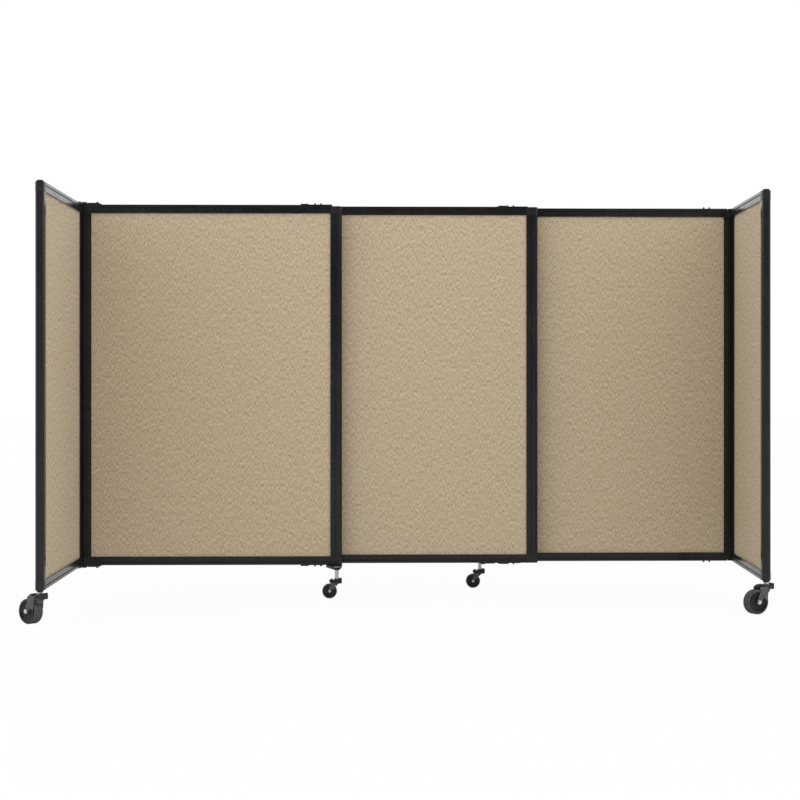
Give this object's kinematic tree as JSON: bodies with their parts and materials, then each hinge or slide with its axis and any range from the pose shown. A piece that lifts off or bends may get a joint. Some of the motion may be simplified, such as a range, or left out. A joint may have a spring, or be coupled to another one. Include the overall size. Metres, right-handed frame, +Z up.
{
  "type": "rolling fabric partition",
  "caption": "Rolling fabric room partition: framed panels that slide past one another, with a double-pivot folding wing at each end, on swivel casters with rocker brakes.",
  "frame": {"origin": "on the floor, under the middle of the bounding box of the part as it stands in the picture", "axes": "+X along the wall from the left panel to the right panel, +Y away from the side the wings reach to, +Z up"},
  "size_m": [2.1448, 0.997, 1.2227],
  "materials": {
    "board_core": "matt fibre board",
    "panel_fabric": "plain woven cloth with fine upright slubs",
    "frame_metal": "satin black powder coat on aluminium extrusion",
    "corner_plastic": "moulded black plastic, fine grain",
    "glide_plastic": "smooth black nylon",
    "bracket_metal": "satin black powder coat on steel plate",
    "fastener_metal": "black oxide",
    "stem_metal": "bright zinc plate",
    "caster_plastic": "moulded black nylon",
    "axle_metal": "bright zinc plate",
    "caster_wheel": "matt black tread on a black hub"
  },
  "bodies": {
    "left_panel": {"left_panel_board": "board_core", "left_panel_fabric": "panel_fabric", "left_panel_rails": "frame_metal", "left_panel_posts": "frame_metal", "left_panel_corners": "corner_plastic", "left_panel_slide_brackets": "bracket_metal", "left_panel_glides": "glide_plastic", "left_panel_fasteners": "fastener_metal", "left_panel_rail_plates": "bracket_metal", "left_panel_caster_stem": "stem_metal", "left_panel_caster_bracket": "bracket_metal"},
    "left_link": {"left_hinge_links": "bracket_metal"},
    "left_wing": {"left_wing_board": "board_core", "left_wing_fabric": "panel_fabric", "left_wing_rails": "frame_metal", "left_wing_posts": "frame_metal", "left_wing_corners": "corner_plastic", "left_wing_hinge_pins": "fastener_metal", "left_wing_caster_stem": "stem_metal"},
    "middle_panel": {"middle_panel_board": "board_core", "middle_panel_fabric": "panel_fabric", "middle_panel_rails": "frame_metal", "middle_panel_posts": "frame_metal", "middle_panel_corners": "corner_plastic", "middle_panel_slide_brackets": "bracket_metal", "middle_panel_glides": "glide_plastic", "middle_panel_fasteners": "fastener_metal"},
    "right_panel": {"right_panel_board": "board_core", "right_panel_fabric": "panel_fabric", "right_panel_rails": "frame_metal", "right_panel_posts": "frame_metal", "right_panel_corners": "corner_plastic", "right_panel_glides": "glide_plastic", "right_panel_fasteners": "fastener_metal", "right_panel_caster_stem": "stem_metal", "right_panel_caster_bracket": "bracket_metal"},
    "right_link": {"right_hinge_links": "bracket_metal"},
    "right_wing": {"right_wing_board": "board_core", "right_wing_fabric": "panel_fabric", "right_wing_rails": "frame_metal", "right_wing_posts": "frame_metal", "right_wing_corners": "corner_plastic", "right_wing_hinge_pins": "fastener_metal", "right_wing_caster_stem": "stem_metal"},
    "left_wing_caster_swivel": {"left_wing_caster_fork": "caster_plastic", "left_wing_caster_axle": "axle_metal"},
    "left_wing_caster_roller": {"left_wing_caster_wheel": "caster_wheel"},
    "left_wing_caster_lever": {"left_wing_caster_brake": "caster_plastic"},
    "right_wing_caster_swivel": {"right_wing_caster_fork": "caster_plastic", "right_wing_caster_axle": "axle_metal"},
    "right_wing_caster_roller": {"right_wing_caster_wheel": "caster_wheel"},
    "right_wing_caster_lever": {"right_wing_caster_brake": "caster_plastic"},
    "left_panel_caster_swivel": {"left_panel_caster_fork": "caster_plastic", "left_panel_caster_axle": "axle_metal"},
    "left_panel_caster_roller": {"left_panel_caster_wheel": "caster_wheel"},
    "left_panel_caster_lever": {"left_panel_caster_brake": "caster_plastic"},
    "right_panel_caster_swivel": {"right_panel_caster_fork": "caster_plastic", "right_panel_caster_axle": "axle_metal"},
    "right_panel_caster_roller": {"right_panel_caster_wheel": "caster_wheel"},
    "right_panel_caster_lever": {"right_panel_caster_brake": "caster_plastic"}
  },
  "joints": [
    {"name": "middle_slide", "type": "slide", "parent": "left_panel", "child": "middle_panel", "axis": [1, 0, 0], "range_m": [-0.515, 0]},
    {"name": "right_slide", "type": "slide", "parent": "middle_panel", "child": "right_panel", "axis": [1, 0, 0], "range_m": [-0.515, 0]},
    {"name": "left_link_pivot", "type": "hinge", "parent": "left_panel", "child": "left_link", "pos_m": [-0.98839, 0.27261, 0], "axis": [0, 0, 1], "range_deg": [-54, 36]},
    {"name": "left_wing_pivot", "type": "hinge", "parent": "left_link", "child": "left_wing", "pos_m": [-1.0045, 0.25044, 0], "axis": [0, 0, 1], "range_deg": [-125, 54]},
    {"name": "right_link_pivot", "type": "hinge", "parent": "right_panel", "child": "right_link", "pos_m": [1.04661, 0.38861, 0], "axis": [0, 0, -1], "range_deg": [-62, 28]},
    {"name": "right_wing_pivot", "type": "hinge", "parent": "right_link", "child": "right_wing", "pos_m": [1.05947, 0.36442, 0], "axis": [0, 0, -1], "range_deg": [-120, 59]},
    {"name": "left_wing_caster_swivel", "type": "hinge", "parent": "left_wing", "child": "left_wing_caster_swivel", "pos_m": [-1.0083, -0.47635, 0], "axis": [0, 0, 1], "continuous": true},
    {"name": "left_wing_caster_roll", "type": "hinge", "parent": "left_wing_caster_swivel", "child": "left_wing_caster_roller", "pos_m": [-1.03675, -0.45331, 0.035], "axis": [0.6293, 0.7771, 0], "continuous": true},
    {"name": "left_wing_caster_lever", "type": "hinge", "parent": "left_wing_caster_swivel", "child": "left_wing_caster_lever", "pos_m": [-1.0083, -0.47635, 0.077], "axis": [0.6293, 0.7771, 0], "range_deg": [-8, 8]},
    {"name": "right_wing_caster_swivel", "type": "hinge", "parent": "right_wing", "child": "right_wing_caster_swivel", "pos_m": [1.03269, -0.249, 0], "axis": [0, 0, 1], "continuous": true},
    {"name": "right_wing_caster_roll", "type": "hinge", "parent": "right_wing_caster_swivel", "child": "right_wing_caster_roller", "pos_m": [0.99952, -0.26447, 0.035], "axis": [-0.4226, 0.9063, 0], "continuous": true},
    {"name": "right_wing_caster_lever", "type": "hinge", "parent": "right_wing_caster_swivel", "child": "right_wing_caster_lever", "pos_m": [1.03269, -0.249, 0.077], "axis": [-0.4226, 0.9063, 0], "range_deg": [-8, 8]},
    {"name": "left_panel_caster_swivel", "type": "hinge", "parent": "left_panel", "child": "left_panel_caster_swivel", "pos_m": [-0.20339, 0.17761, 0], "axis": [0, 0, 1], "continuous": true},
    {"name": "left_panel_caster_roll", "type": "hinge", "parent": "left_panel_caster_swivel", "child": "left_panel_caster_roller", "pos_m": [-0.22539, 0.17761, 0.0225], "axis": [0, 1, 0], "continuous": true},
    {"name": "left_panel_caster_lever", "type": "hinge", "parent": "left_panel_caster_swivel", "child": "left_panel_caster_lever", "pos_m": [-0.20339, 0.17761, 0.0526], "axis": [0, 1, 0], "range_deg": [-8, 8]},
    {"name": "right_panel_caster_swivel", "type": "hinge", "parent": "right_panel", "child": "right_panel_caster_swivel", "pos_m": [0.25361, 0.48361, 0], "axis": [0, 0, 1], "continuous": true},
    {"name": "right_panel_caster_roll", "type": "hinge", "parent": "right_panel_caster_swivel", "child": "right_panel_caster_roller", "pos_m": [0.23161, 0.48361, 0.0225], "axis": [0, 1, 0], "continuous": true},
    {"name": "right_panel_caster_lever", "type": "hinge", "parent": "right_panel_caster_swivel", "child": "right_panel_caster_lever", "pos_m": [0.25361, 0.48361, 0.0526], "axis": [0, 1, 0], "range_deg": [-8, 8]}
  ]
}
